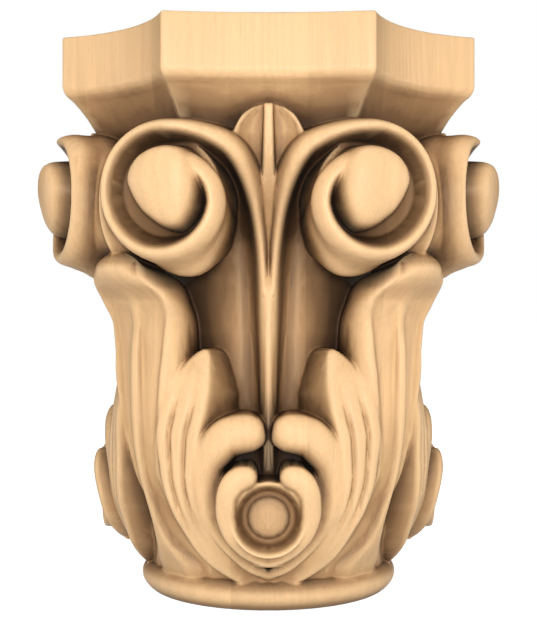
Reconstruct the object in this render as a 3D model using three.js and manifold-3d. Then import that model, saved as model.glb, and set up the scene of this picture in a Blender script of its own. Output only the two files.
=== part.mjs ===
// Corinthian capital for a round wooden column, carved from one laminated block.
//
// Millimetres, +Z up, origin on the axis at the underside of the base ring.
// The capital has four like faces. A face is drawn in its own coordinates:
// a, sideways from its middle; p, out from the axis; z, up.
// The first face looks along -Y. Each face is the same left and right of its middle.

import * as THREE from "three";
import Module from "manifold-3d";

// Driving dimensions, mm.
const HALF = 165; // half the width of the abacus, from the axis to a face
const HEIGHT = 450; // underside of the base ring to the top of the abacus
const ABACUS_THICK = 46; // the upright band round the abacus
const RING_HIGH = 25; // height of the base ring
const RING_OUT = 107.5; // radius of the base ring at its widest
const RING_FOOT = 99; // radius of the flat underside

const FACES = 4;
const EIGHTH = Math.PI / 4;

const wasm = await Module();
wasm.setup();

// A smooth curve through rows [x, value, value, ...], without overshoot between two rows.
function curve(rows) {
  const slopes = rows.slice(1).map((row, i) =>
    row.slice(1).map((v, k) => (v - rows[i][k + 1]) / (row[0] - rows[i][0])),
  );
  const tangents = rows.map((row, i) =>
    row.slice(1).map((_, k) => {
      const before = slopes[Math.max(i - 1, 0)][k];
      const after = slopes[Math.min(i, slopes.length - 1)][k];
      return before * after > 0 ? (2 * before * after) / (before + after) : 0;
    }),
  );
  return (x) => {
    const last = rows.length - 2;
    const found = rows.findIndex((row) => row[0] > x) - 1;
    const i = found < 0 ? (x < rows[0][0] ? 0 : last) : found;
    const wide = rows[i + 1][0] - rows[i][0];
    const t = Math.min(Math.max((x - rows[i][0]) / wide, 0), 1);
    return rows[i].slice(1).map((v, k) => {
      const start = (1 + 2 * t) * (1 - t) ** 2 * v + t * (1 - t) ** 2 * wide * tangents[i][k];
      const end = t * t * (3 - 2 * t) * rows[i + 1][k + 1] - t * t * (1 - t) * wide * tangents[i + 1][k];
      return start + end;
    });
  };
}

const steps = (from, to, count) =>
  Array.from({ length: count + 1 }, (_, i) => from + ((to - from) * i) / count);

// Where a point of a face lies on the capital: side is 1 or -1, face is 0 to 3.
function onFace([a, p, z], side, face) {
  const point = new THREE.Vector3(side * a, -p, z);
  return point.applyAxisAngle(new THREE.Vector3(0, 0, 1), (face * 2 * Math.PI) / FACES);
}

// A closed solid through rings of points, each ring a list of Vector3, with flat fans at both ends.
function loft(rings) {
  const around = rings[0].length;
  const points = rings.flat();
  const middles = [rings[0], rings.at(-1)].map((ring) =>
    ring.reduce((sum, q) => sum.add(q), new THREE.Vector3()).divideScalar(around),
  );
  const triangles = [];
  for (let i = 0; i + 1 < rings.length; i += 1) {
    for (let j = 0; j < around; j += 1) {
      const a = i * around + j;
      const b = i * around + ((j + 1) % around);
      triangles.push([a, b, b + around], [a, b + around, a + around]);
    }
  }
  const top = (rings.length - 1) * around;
  for (let j = 0; j < around; j += 1) {
    const next = (j + 1) % around;
    triangles.push([points.length, next, j], [points.length + 1, top + j, top + next]);
  }
  return solid([...points, ...middles], triangles);
}

// The solid inside a closed mesh, whichever way round its triangles were listed.
function solid(points, triangles) {
  const volume = triangles.reduce(
    (sum, [i, j, k]) => sum + points[i].dot(new THREE.Vector3().crossVectors(points[j], points[k])),
    0,
  );
  const outward = volume < 0 ? triangles.map(([i, j, k]) => [i, k, j]) : triangles;
  const mesh = new wasm.Mesh({
    numProp: 3,
    vertProperties: new Float32Array(points.flatMap((q) => q.toArray())),
    triVerts: new Uint32Array(outward.flat()),
  });
  return new wasm.Manifold(mesh);
}

// The whole ring at height z, from its eighth: rows of a and p from a face's middle to the corner.
function allRound(eighth, z) {
  const quarter = [...eighth, ...eighth.slice(0, -1).reverse().map(([a, p]) => [p, a])];
  return steps(0, FACES - 1, FACES - 1).flatMap((face) =>
    quarter.slice(0, -1).map(([a, p]) => onFace([a, p, z], 1, face)),
  );
}

// A strip of carving that follows a line of places on a face.
// rows: t, then the crest's a, p and z, its half width, and the turn of its outward direction.
// section: rows of how far across (in half widths), how far out of the crest (mm).
function strip(rows, section, count, side, face) {
  const at = curve(rows);
  const ts = steps(rows[0][0], rows.at(-1)[0], count);
  const crests = ts.map((t) => new THREE.Vector3(...at(t).slice(0, 3)));
  const rings = ts.map((t, i) => {
    const [, , , wide, turn] = at(t);
    const before = crests[Math.max(i - 1, 0)];
    const after = crests[Math.min(i + 1, ts.length - 1)];
    const along = after.clone().sub(before).normalize();
    const out = new THREE.Vector3(Math.sin(turn), Math.cos(turn), 0);
    const across = new THREE.Vector3().crossVectors(along, out).normalize();
    return section(t, wide).map(([u, h]) => {
      const place = crests[i].clone().addScaledVector(across, u).addScaledVector(out, h);
      return onFace(place.toArray(), side, face);
    });
  });
  return loft(rings);
}

const forms = []; // the closed forms that make up the one carved block

// Abacus: a square with each corner scooped out, hollowed inwards below its upright band.
const FACE_END = 0.471 * HALF; // where the front of a face ends and the scoop begins
const FACE_MIDDLE = 0.958 * HALF; // the front of a face bows in to this at its middle
const FACE_TIP = 0.994 * HALF;
const SCOOP_DEEP = 0.661 * HALF; // a and p at the deepest point of the scoop
const ABACUS_SIDE = [
  // height above the underside, share of the full width
  [HEIGHT - 92, 0.76],
  [HEIGHT - 76, 0.84],
  [HEIGHT - 62, 0.895],
  [HEIGHT - 51, 0.95],
  [HEIGHT - ABACUS_THICK, 0.985],
  [HEIGHT - ABACUS_THICK + 6, 1],
  [HEIGHT, 1],
];

function abacus() {
  const chord = (FACE_TIP - FACE_END) / Math.SQRT2;
  const sag = ((FACE_TIP + FACE_END) / 2 - SCOOP_DEEP) * Math.SQRT2;
  const radius = (chord * chord) / (2 * sag) + sag / 2;
  const centre = SCOOP_DEEP + radius / Math.SQRT2;
  const start = Math.asin(chord / radius);
  const front = steps(0, FACE_END, 3).map((a) => [
    a,
    FACE_TIP - (FACE_TIP - FACE_MIDDLE) * (1 - (a / FACE_END) ** 2),
  ]);
  const scoop = steps(start, 0, 8).map((turn) => [
    centre - radius * Math.sin(EIGHTH + turn),
    centre - radius * Math.cos(EIGHTH + turn),
  ]);
  const eighth = [...front.slice(0, -1), ...scoop];
  return loft(
    ABACUS_SIDE.map(([z, share]) => allRound(eighth.map(([a, p]) => [a * share, p * share]), z)),
  );
}
forms.push(abacus());

// Base ring: a half round bead that ends the capital above the column's shaft.
const RING_STEPS = 64;
function baseRing() {
  const middle = RING_HIGH / 2;
  const profile = [
    [0, RING_FOOT],
    ...steps(-0.4, 0.4, 6).map((share) => [
      middle + RING_HIGH * share,
      RING_OUT - (RING_OUT - RING_FOOT) * (2 * share) ** 2,
    ]),
    [RING_HIGH, RING_FOOT - 2],
  ];
  return loft(
    profile.map(([z, r]) =>
      steps(0, 2 * Math.PI, RING_STEPS)
        .slice(1)
        .map((turn) => new THREE.Vector3(r * Math.cos(turn), r * Math.sin(turn), z)),
    ),
  );
}
forms.push(baseRing());

// Bell: the round core, with a stem up the middle of each face and a scooped flute beside it.
const BELL = curve([
  // height, radius of the bell and of the stem, in half widths
  [0.1, 0.6, 0.6],
  [0.34, 0.62, 0.62],
  [0.5, 0.63, 0.635],
  [0.65, 0.615, 0.645],
  [0.8, 0.585, 0.65],
  [1.0, 0.56, 0.652],
  [1.15, 0.553, 0.657],
  [1.3, 0.552, 0.665],
  [1.47, 0.565, 0.69],
  [1.58, 0.577, 0.695],
  [1.7, 0.595, 0.68],
  [2.0, 0.66, 0.67],
  [2.3, 0.79, 0.79],
]);
const STEM_SIDE = [
  // turn from the middle of the face, how far the stem or flute stands out, as a share of the stem
  [0, 1],
  [0.022, 0.95],
  [0.04, 0.7],
  [0.062, 0.22],
  [0.1, -0.1],
  [0.145, -0.18],
  [0.2, -0.08],
  [0.26, 0],
  [0.45, 0],
  [0.62, 0],
  [EIGHTH, 0],
];

function bell() {
  return loft(
    steps(0.1, 2.3, 26).map((share) => {
      const [bellR, stemR] = BELL(share);
      const eighth = STEM_SIDE.map(([turn, out]) => {
        const r = (bellR + (stemR - bellR) * out) * HALF;
        return [r * Math.sin(turn), r * Math.cos(turn)];
      });
      return allRound(eighth, share * HALF);
    }),
  );
}
forms.push(bell());

// Corner leaf: a tall leaf up each corner with a rib along its middle, a flute on each side and
// a raised edge, which curls out to a round head under the volutes. Its walls face the stems.
const LEAF = curve([
  // height; a of the wall; then, out along the diagonal and across it: the edge, the groove
  // beside it, the flute and the rib's edge; and the rib, out along the diagonal
  [0.1, 0.15, 0.53, 0.28, 0.545, 0.25, 0.57, 0.19, 0.587, 0.14, 0.6],
  [0.18, 0.18, 0.54, 0.28, 0.556, 0.245, 0.58, 0.2, 0.606, 0.146, 0.645],
  [0.31, 0.25, 0.63, 0.175, 0.64, 0.145, 0.662, 0.1, 0.69, 0.062, 0.725],
  [0.42, 0.3, 0.695, 0.115, 0.702, 0.085, 0.72, 0.056, 0.747, 0.03, 0.772],
  [0.53, 0.32, 0.76, 0.085, 0.755, 0.06, 0.768, 0.042, 0.794, 0.022, 0.815],
  [0.66, 0.33, 0.82, 0.09, 0.812, 0.062, 0.823, 0.042, 0.845, 0.02, 0.858],
  [0.81, 0.33, 0.85, 0.11, 0.84, 0.08, 0.848, 0.05, 0.876, 0.023, 0.886],
  [0.97, 0.33, 0.862, 0.145, 0.848, 0.108, 0.857, 0.062, 0.889, 0.025, 0.898],
  [1.1, 0.33, 0.868, 0.168, 0.848, 0.122, 0.858, 0.068, 0.892, 0.025, 0.901],
  [1.24, 0.335, 0.86, 0.184, 0.845, 0.138, 0.858, 0.075, 0.889, 0.022, 0.898],
  [1.35, 0.342, 0.861, 0.2, 0.85, 0.155, 0.863, 0.085, 0.881, 0.024, 0.886],
  [1.45, 0.372, 0.897, 0.228, 0.886, 0.175, 0.893, 0.095, 0.9, 0.035, 0.902],
  [1.5, 0.39, 0.94, 0.215, 0.934, 0.165, 0.94, 0.095, 0.943, 0.045, 0.944],
  [1.54, 0.415, 0.985, 0.185, 0.988, 0.14, 0.996, 0.09, 0.999, 0.045, 1.0],
  [1.58, 0.465, 1.0, 0.168, 1.018, 0.125, 1.03, 0.075, 1.035, 0.035, 1.036],
  [1.61, 0.53, 0.998, 0.16, 1.022, 0.12, 1.037, 0.07, 1.042, 0.035, 1.043],
  [1.64, 0.6, 0.988, 0.148, 1.012, 0.11, 1.028, 0.065, 1.033, 0.035, 1.034],
  [1.665, 0.645, 0.98, 0.1, 0.998, 0.08, 1.01, 0.05, 1.016, 0.015, 1.017],
  [1.685, 0.668, 0.98, 0.05, 0.99, 0.04, 0.998, 0.025, 1.002, 0.01, 1.003],
  [1.7, 0.688, 0.98, 0.008, 0.982, 0.006, 0.984, 0.004, 0.985, 0.002, 0.986],
]);
const LEAF_HEIGHTS = [...steps(0.1, 1.35, 20), ...steps(1.4, 1.64, 8), 1.665, 1.685, 1.7];
const SHOULDER = 0.2; // how far back the wall starts to round over to the edge, in half widths
const SHOULDER_STEPS = 4;

// Half of the leaf's section at a height, rows of a and p, from its rib round to its back.
function leafHalf(height) {
  const [wall, edgeS, edgeW, grooveS, grooveW, fluteS, fluteW, lipS, lipW, rib] = LEAF(height);
  const faceLine = [
    [rib, 0],
    [lipS, lipW],
    [fluteS, fluteW],
    [grooveS, grooveW],
    [edgeS, edgeW],
  ].map(([s, w]) => [(s - w) / Math.SQRT2, (s + w) / Math.SQRT2]);
  const [edgeA, edgeP] = faceLine.at(-1);
  const back = Math.min(SHOULDER, Math.max(edgeP - wall, 0.002) * 0.8);
  const roundOver = steps(0, Math.PI / 2, SHOULDER_STEPS)
    .slice(1)
    .map((turn) => [
      edgeA + (wall - edgeA) * Math.sin(turn),
      edgeP - back * (1 - Math.cos(turn)),
    ]);
  const middle = [wall, (edgeP - back + wall) / 2];
  return [...faceLine, ...roundOver, middle, [wall, wall]];
}

function cornerLeaf(face) {
  return loft(
    LEAF_HEIGHTS.map((height) => {
      const half = leafHalf(height);
      const other = half.slice(1, -1).reverse().map(([a, p]) => [p, a]);
      return [...half, ...other].map(([a, p]) => onFace([a * HALF, p * HALF, height * HALF], 1, face));
    }),
  );
}

// Volute: a ribbon climbs from the stem, rolls over outwards and winds in round a raised eye.
const TILT = THREE.MathUtils.degToRad(23.4); // the roll's front turns this far towards the corner
const ROLL = { a: 0.4725 * HALF, p: 1.0205 * HALF, z: 1.9225 * HALF }; // its centre, at the crest
const ROLL_BOW = 0.75 / HALF; // the crest falls back a little on the side of the stem
const BACK = 0.45 * HALF; // every strip of carving reaches in to this distance from the axis

// A place in the roll: x sideways and y up in its own tilted front, h out of it.
function inRoll(x, y, h) {
  const bow = x < 0 ? ROLL_BOW * x * x : 0;
  return [
    ROLL.a + x * Math.cos(TILT) + h * Math.sin(TILT),
    ROLL.p - x * Math.sin(TILT) + h * Math.cos(TILT) - bow,
    ROLL.z + y,
  ];
}

// Rows: quarter turns from the top of the roll; crest a, p, z in half widths.
const RISE = [
  [-9, 0.004, 0.64, 0.86],
  [-8, 0.006, 0.643, 1.03],
  [-7, 0.009, 0.65, 1.2],
  [-6, 0.012, 0.66, 1.36],
  [-5, 0.018, 0.7, 1.52],
  [-4, 0.03, 0.75, 1.67],
  [-3, 0.054, 0.815, 1.835],
  [-2, 0.103, 0.9, 1.995],
  [-1, 0.213, 0.985, 2.148],
];
const TURN_START = -6; // where the crest starts to turn towards the corner
const ROLL_CREST = curve([
  // quarter turns; crest radius and how far out of the roll's front, in half widths
  [0, 0.301, 0],
  [0.5, 0.307, 0],
  [1, 0.293, 0],
  [1.5, 0.27, 0],
  [2, 0.256, 0],
  [2.5, 0.248, 0],
  [2.85, 0.243, 0],
  [3.1, 0.225, 0.004],
  [3.35, 0.197, 0.014],
  [3.7, 0.17, 0.022],
  [4.1, 0.145, 0.02],
  [4.5, 0.11, 0],
]);
const ROLL_END = 4.5;
const ROLL_STEPS = 18;

function ribbonRows() {
  const rise = RISE.map(([t, a, p, z]) => {
    const turn = (TILT * Math.max(t - TURN_START, 0)) / -TURN_START;
    return [t, a * HALF, p * HALF, z * HALF, 0, turn];
  });
  const roll = steps(0, ROLL_END, ROLL_STEPS).map((t) => {
    const turn = (Math.PI / 2) * (1 - t);
    const [radius, lift] = ROLL_CREST(t).map((share) => share * HALF);
    return [t, ...inRoll(radius * Math.cos(turn), radius * Math.sin(turn), lift), 0, TILT];
  });
  return [...rise, ...roll];
}

const RIBBON = curve([
  // quarter turns; width of the crest's outer shoulder; how far out the wall is a quarter deep;
  // width of the hollow inner flank, its depth below the crest, and width of the floor beside it
  [-9, 0.004, 0.004, 0.01, 0.09, 0],
  [-8, 0.01, 0.01, 0.015, 0.095, 0],
  [-7, 0.016, 0.016, 0.025, 0.105, 0],
  [-6, 0.02, 0.02, 0.04, 0.12, 0],
  [-5, 0.022, 0.025, 0.055, 0.145, 0],
  [-4, 0.026, 0.03, 0.07, 0.165, 0],
  [-3, 0.036, 0.04, 0.09, 0.185, 0],
  [-2, 0.055, 0.06, 0.1, 0.195, 0.01],
  [-1, 0.06, 0.065, 0.1, 0.185, 0.04],
  [-0.4, 0.045, 0.045, 0.095, 0.18, 0.05],
  [0, 0.035, 0.035, 0.09, 0.175, 0.05],
  [1, 0.032, -0.01, 0.095, 0.175, 0.05],
  [1.6, 0.04, 0.04, 0.09, 0.165, 0.05],
  [2.1, 0.048, 0.105, 0.08, 0.15, 0.05],
  [2.43, 0.046, 0.035, 0.07, 0.145, 0.04],
  [2.65, 0.044, 0.005, 0.06, 0.14, 0.03],
  [3, 0.042, -0.024, 0.045, 0.13, 0.02],
  [3.35, 0.042, -0.005, 0.025, 0.06, 0.01],
  [3.7, 0.042, 0.02, 0.02, 0.04, 0],
  [4.5, 0.03, 0.03, 0.02, 0.04, 0],
].map(([t, ...shares]) => [t, ...shares.map((share) => share * HALF)]));
const CROWN = 0.03 * HALF;
const RIBBON_BACK = 0.55 * HALF;
const RIBBON_STEPS = 62;

function ribbonSection(t) {
  const [shoulder, foot, flank, deep, floor] = RIBBON(t);
  return [
    [foot - 0.1 * HALF, -RIBBON_BACK],
    [foot, -0.25 * HALF],
    [shoulder * 0.55 + foot * 0.45, -0.145 * HALF],
    [shoulder, -0.075 * HALF],
    [shoulder * 0.72, -0.03 * HALF],
    [0, 0],
    [-CROWN, -0.025 * HALF],
    [-CROWN - flank * 0.22, -deep * 0.42],
    [-CROWN - flank * 0.5, -deep * 0.76],
    [-CROWN - flank, -deep],
    [-CROWN - flank - floor, -deep - 0.003 * HALF],
    [-CROWN - flank - floor, -RIBBON_BACK],
  ];
}

// The body of the roll, between its front on one face and its front on the next.
const BARREL = [
  // a and p of the outer and the inner end, height of middle, half height
  [0.689, 0.829, 0.21, 0.97, 1.925, 0.262],
  [0.742, 0.775, 0.15, 0.6, 1.918, 0.295],
  [0.775, 0.775, 0.4, 0.4, 1.91, 0.322],
];

function barrel(face) {
  const other = BARREL.slice(0, -1).reverse().map(([oa, op, ia, ip, ...up]) => [op, oa, ip, ia, ...up]);
  return loft(
    [...BARREL, ...other].map(([oa, op, ia, ip, z, high]) =>
      steps(0, 2 * Math.PI, 24).slice(1).map((turn) => {
        const share = (1 + Math.cos(turn)) / 2;
        const a = ia + (oa - ia) * share;
        const p = ip + (op - ip) * share;
        return onFace([a * HALF, p * HALF, (z + high * Math.sin(turn)) * HALF], 1, face);
      }),
    ),
  );
}

// The eye: the ribbon's end swells to an egg with its small end down, flat on top, steep walled.
const EYE_MIDDLE = [-0.018, 0.045];
const EYE_EDGE = [
  // x and y of its edge in the roll's front, in half widths
  [-0.038, 0.211],
  [-0.09, 0.198],
  [-0.132, 0.166],
  [-0.161, 0.127],
  [-0.175, 0.081],
  [-0.177, 0.034],
  [-0.17, -0.026],
  [-0.151, -0.086],
  [-0.119, -0.137],
  [-0.082, -0.161],
  [-0.038, -0.164],
  [0.001, -0.152],
  [0.041, -0.127],
  [0.087, -0.089],
  [0.121, -0.043],
  [0.147, 0.01],
  [0.161, 0.059],
  [0.149, 0.109],
  [0.12, 0.151],
  [0.085, 0.18],
  [0.04, 0.2],
  [0.001, 0.209],
];
const EYE_LEVELS = [
  // height out of the roll's crest, share of the outline
  [-0.3, 1.06],
  [-0.14, 1.035],
  [-0.03, 0.995],
  [0.015, 0.96],
  [0.045, 0.89],
  [0.062, 0.79],
  [0.074, 0.62],
  [0.08, 0.35],
];
const EYE_DROOP = 0.05; // how much lower the eye's small end is than its top, in half widths

function eye(side, face) {
  const edge = EYE_EDGE.map(([x, y]) => [x - EYE_MIDDLE[0], y - EYE_MIDDLE[1]]);
  const tall = Math.max(...edge.map(([, y]) => Math.abs(y)));
  return loft(
    EYE_LEVELS.map(([out, share]) =>
      edge.map(([x, y]) => {
        const droop = EYE_DROOP * (0.5 - (0.5 * y) / tall) ** 2 * share;
        const place = inRoll(
          (EYE_MIDDLE[0] + x * share) * HALF,
          (EYE_MIDDLE[1] + y * share) * HALF,
          (out - droop) * HALF,
        );
        return onFace(place, side, face);
      }),
    ),
  );
}

// Middle leaf: a narrow leaf between the ribbons, with a raised rim, a flat rib and two panels.
const MIDDLE_LEAF = [
  // height, then crest p, half width
  [1.58, 0.66, 0.012],
  [1.7, 0.72, 0.04],
  [1.85, 0.785, 0.085],
  [2.0, 0.85, 0.125],
  [2.1, 0.885, 0.148],
  [2.2, 0.91, 0.158],
  [2.27, 0.92, 0.128],
  [2.32, 0.925, 0.07],
  [2.335, 0.925, 0.03],
].map(([z, p, wide]) => [z, 0, p * HALF, z * HALF, wide * HALF, 0]);
const RIB_HALF = curve([
  [1.58, 0.004],
  [1.7, 0.013],
  [2.0, 0.026],
  [2.335, 0.019],
]);

function middleLeafSection(t, wide) {
  const rib = Math.min(RIB_HALF(t)[0] * HALF, wide * 0.5);
  const sunk = -Math.min(0.04 * HALF, wide * 0.8);
  const half = [
    [wide, BACK - 0.85 * HALF],
    [wide, -0.01 * HALF],
    [wide * 0.93, 0],
    [wide * 0.8, sunk * 0.6],
    [(rib + wide) / 2.2, sunk],
    [rib * 1.15, sunk],
    [rib, 0],
  ];
  return [...half, ...half.map(([u, h]) => [-u, h]).reverse()];
}

// Side lobe: the pointed lobe that laps the wall of the corner leaf, with two cut grooves.
const LOBE = [
  // t, then crest a, p, z and half width in half widths, turn in degrees
  [0, 0.13, 0.63, 0.17, 0.03, 10],
  [1, 0.2685, 0.69, 0.288, 0.052, 16],
  [2, 0.345, 0.725, 0.4125, 0.062, 20],
  [3, 0.3976, 0.75, 0.528, 0.072, 22],
  [4, 0.425, 0.755, 0.67, 0.088, 22],
  [5, 0.425, 0.755, 0.81, 0.106, 18],
  [6, 0.4, 0.75, 0.939, 0.112, 14],
  [7, 0.3685, 0.74, 1.0515, 0.0985, 12],
  [8, 0.3355, 0.725, 1.134, 0.069, 12],
  [9, 0.3, 0.71, 1.205, 0.03, 12],
  [9.6, 0.285, 0.7, 1.235, 0.006, 12],
].map(([t, a, p, z, wide, turn]) => [
  t,
  a * HALF,
  p * HALF,
  z * HALF,
  wide * HALF,
  THREE.MathUtils.degToRad(turn),
]);

const LOBE_SPREAD = 0.11 * HALF; // the wall on the side of the stem spreads towards its foot
const LOBE_CUT = 0.03 * HALF;

function lobeSection(t, wide) {
  const cut = -LOBE_CUT * Math.max(0, Math.min(1, t / 2, (7.5 - t) / 2));
  const edge = -Math.min(0.03 * HALF, wide * 0.4);
  return [
    [wide + LOBE_SPREAD, -0.3 * HALF],
    [wide + LOBE_SPREAD * 0.45, -0.1 * HALF],
    [wide, edge],
    [wide * 0.8, 0],
    [wide * 0.42, edge * 0.3],
    [wide * 0.3, cut],
    [wide * 0.16, edge * 0.2],
    [0, 0],
    [-wide * 0.3, edge * 0.3],
    [-wide * 0.4, cut],
    [-wide * 0.52, edge * 0.2],
    [-wide * 0.75, 0],
    [-wide, edge],
    [-wide, -0.3 * HALF],
  ];
}

// Petals: on each side an outer and an inner one curl up and in to a round tip.
const OUTER_PETAL = [
  [0, 0.02, 0.66, 0.185, 0.02, 0],
  [1, 0.078, 0.68, 0.22, 0.03, 4],
  [2, 0.17, 0.72, 0.311, 0.04, 8],
  [3, 0.2375, 0.755, 0.41, 0.047, 10],
  [4, 0.276, 0.78, 0.507, 0.056, 10],
  [5, 0.2895, 0.79, 0.598, 0.064, 8],
  [6, 0.28, 0.805, 0.702, 0.076, 6],
  [7, 0.239, 0.82, 0.7875, 0.088, 4],
  [8, 0.176, 0.825, 0.837, 0.09, 0],
  [9, 0.108, 0.825, 0.851, 0.086, 0],
  [9.6, 0.062, 0.815, 0.845, 0.07, 0],
  [10, 0.032, 0.8, 0.84, 0.035, 0],
];
const INNER_PETAL = [
  [0, 0.0, 0.76, 0.262, 0.03, 0],
  [1, 0.0587, 0.775, 0.2846, 0.032, 2],
  [2, 0.1255, 0.81, 0.338, 0.036, 4],
  [3, 0.179, 0.84, 0.417, 0.04, 5],
  [4, 0.1965, 0.86, 0.499, 0.045, 4],
  [5, 0.192, 0.875, 0.566, 0.047, 3],
  [6, 0.165, 0.885, 0.629, 0.054, 2],
  [7, 0.116, 0.885, 0.66, 0.056, 0],
  [8, 0.08, 0.88, 0.664, 0.045, 0],
  [8.5, 0.058, 0.87, 0.662, 0.024, 0],
];
const petalRows = (rows) =>
  rows.map(([t, a, p, z, wide, turn]) => [
    t,
    a * HALF,
    p * HALF,
    z * HALF,
    wide * HALF,
    THREE.MathUtils.degToRad(turn),
  ]);

function petalSection(t, wide) {
  const crown = steps(0, Math.PI, 8).map((turn) => [
    wide * Math.cos(turn),
    wide * 0.75 * (Math.sin(turn) - 1),
  ]);
  return [[wide, -0.28 * HALF], ...crown, [-wide, -0.28 * HALF]];
}

// Flower: a dished disc with a flat button, at the middle of the petals.
const FLOWER_Z = 0.468 * HALF;
const FLOWER_SIDE = [
  // distance out from the axis, radius
  [0.55, 0.175],
  [0.83, 0.172],
  [0.84, 0.158],
  [0.805, 0.138],
  [0.782, 0.118],
  [0.778, 0.1],
  [0.8, 0.083],
  [0.808, 0.06],
];

function flower(face) {
  return loft(
    FLOWER_SIDE.map(([p, r]) =>
      steps(0, 2 * Math.PI, 28)
        .slice(1)
        .map((turn) =>
          onFace([r * HALF * Math.cos(turn), p * HALF, FLOWER_Z + r * HALF * Math.sin(turn)], 1, face),
        ),
    ),
  );
}

for (const face of steps(0, FACES - 1, FACES - 1)) {
  forms.push(cornerLeaf(face), barrel(face), flower(face));
  forms.push(strip(MIDDLE_LEAF, middleLeafSection, 14, 1, face));
  for (const side of [1, -1]) {
    forms.push(
      strip(ribbonRows(), ribbonSection, RIBBON_STEPS, side, face),
      eye(side, face),
      strip(LOBE, lobeSection, 20, side, face),
      strip(petalRows(OUTER_PETAL), petalSection, 22, side, face),
      strip(petalRows(INNER_PETAL), petalSection, 20, side, face),
    );
  }
}

// The block as it is carved: all the forms joined into one solid, and any hollow that they
// close in between them filled, since a chisel reaches none of those.
const shells = forms.reduce((whole, form) => whole.add(form)).decompose();
const carved = shells.sort((one, other) => other.volume() - one.volume())[0].getMesh();

// The joined skin has far more facets than its shape needs. The next part thins it: edge by edge,
// the cheapest first, the two ends become one point, as long as the skin stays closed and unfolded.
// A vertex's cost is its summed squared distance to the planes that have met at it.
const MOST_TRIANGLES = 9900;
const LEAST_AREA = 1e-3; // of a facet, doubled, mm2
const SHARE_OF_PASS = 0.15; // of the edges that one pass may take, the cheapest
const LENGTH_WEIGHT = 0.002; // keeps the facets from growing long and thin
const LEAST_FACING = 0.3; // how far a facet may turn, as the cosine

const PAIRS = [0, 1, 2, 3].flatMap((i) => [0, 1, 2, 3].slice(i).map((j) => [i, j]));

function addPlane(sum, plane, area) {
  PAIRS.forEach(([i, j], k) => {
    sum[k] += plane[i] * plane[j] * area;
  });
}

function planeCost(sum, { x, y, z }) {
  const at = [x, y, z, 1];
  const cost = PAIRS.reduce(
    (total, [i, j], k) => total + (i === j ? 1 : 2) * sum[k] * at[i] * at[j],
    0,
  );
  return Math.max(cost, 0);
}

function facing(points, [i, j, k]) {
  const side = new THREE.Vector3().subVectors(points[j], points[i]);
  return side.cross(new THREE.Vector3().subVectors(points[k], points[i]));
}

function thin(points, triangles) {
  const sums = points.map(() => new Float64Array(PAIRS.length));
  for (const triangle of triangles) {
    const normal = facing(points, triangle);
    const area = normal.length() / 2;
    normal.normalize();
    const plane = [...normal.toArray(), -normal.dot(points[triangle[0]])];
    for (const vertex of triangle) {
      addPlane(sums[vertex], plane, area);
    }
  }
  let live = triangles;
  let before = Infinity;
  while (live.length > MOST_TRIANGLES && live.length < before) {
    before = live.length;
    live = thinOnce(points, sums, live);
  }
  return live;
}

function thinOnce(points, sums, live) {
  const around = points.map(() => []);
  for (const triangle of live) {
    for (const vertex of triangle) {
      around[vertex].push(triangle);
    }
  }
  const edges = [];
  for (const triangle of live) {
    for (let k = 0; k < 3; k += 1) {
      const [a, b] = [triangle[k], triangle[(k + 1) % 3]];
      if (a > b) {
        continue;
      }
      const sum = sums[a].map((v, i) => v + sums[b][i]);
      const places = [points[a], points[b], points[a].clone().lerp(points[b], 0.5)];
      const costs = places.map((place) => planeCost(sum, place));
      const best = costs.indexOf(Math.min(...costs));
      const length = points[a].distanceToSquared(points[b]);
      edges.push({ a, b, sum, place: places[best], cost: costs[best] + LENGTH_WEIGHT * length * length });
    }
  }
  edges.sort((one, other) => one.cost - other.cost);
  const touched = new Set();
  let left = live.length;
  for (const { a, b, sum, place } of edges.slice(0, edges.length * SHARE_OF_PASS)) {
    if (left <= MOST_TRIANGLES) {
      break;
    }
    if (touched.has(a) || touched.has(b)) {
      continue;
    }
    const near = (vertex) => new Set(around[vertex].flat().filter((v) => v !== vertex));
    const [nearA, nearB] = [near(a), near(b)];
    if ([...nearA].filter((vertex) => nearB.has(vertex)).length !== 2) {
      continue;
    }
    const kept = [...around[a], ...around[b]].filter((t) => !(t.includes(a) && t.includes(b)));
    const unfolded = kept.every((triangle) => {
      const was = facing(points, triangle);
      const corners = triangle.map((v) => (v === a || v === b ? place : points[v]));
      const is = facing(corners, [0, 1, 2]);
      return is.length() > LEAST_AREA && was.dot(is) > LEAST_FACING * was.length() * is.length();
    });
    if (!unfolded) {
      continue;
    }
    points[a] = place.clone();
    sums[a] = sum;
    for (const triangle of around[b]) {
      triangle[triangle.indexOf(b)] = a;
    }
    for (const vertex of [a, b, ...nearA, ...nearB]) {
      touched.add(vertex);
    }
    left -= 2;
  }
  return live.filter(([i, j, k]) => i !== j && j !== k && i !== k);
}

const places = [];
for (let i = 0; i < carved.vertProperties.length; i += 3) {
  places.push(new THREE.Vector3().fromArray(carved.vertProperties, i));
}
const skin = [];
for (let i = 0; i < carved.triVerts.length; i += 3) {
  skin.push([...carved.triVerts.slice(i, i + 3)]);
}
const facets = thin(places, skin);
const geometry = new THREE.BufferGeometry().setFromPoints(facets.flat().map((vertex) => places[vertex]));
geometry.computeVertexNormals();

const paleWood = new THREE.MeshStandardMaterial({ color: 0xe3bd85, roughness: 0.55, metalness: 0 });
const capital = new THREE.Mesh(geometry, paleWood);
capital.name = "capital";

const group = new THREE.Group();
group.add(capital);
export default group;
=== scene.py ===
from math import cos, pi, radians, sin, sqrt

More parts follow.
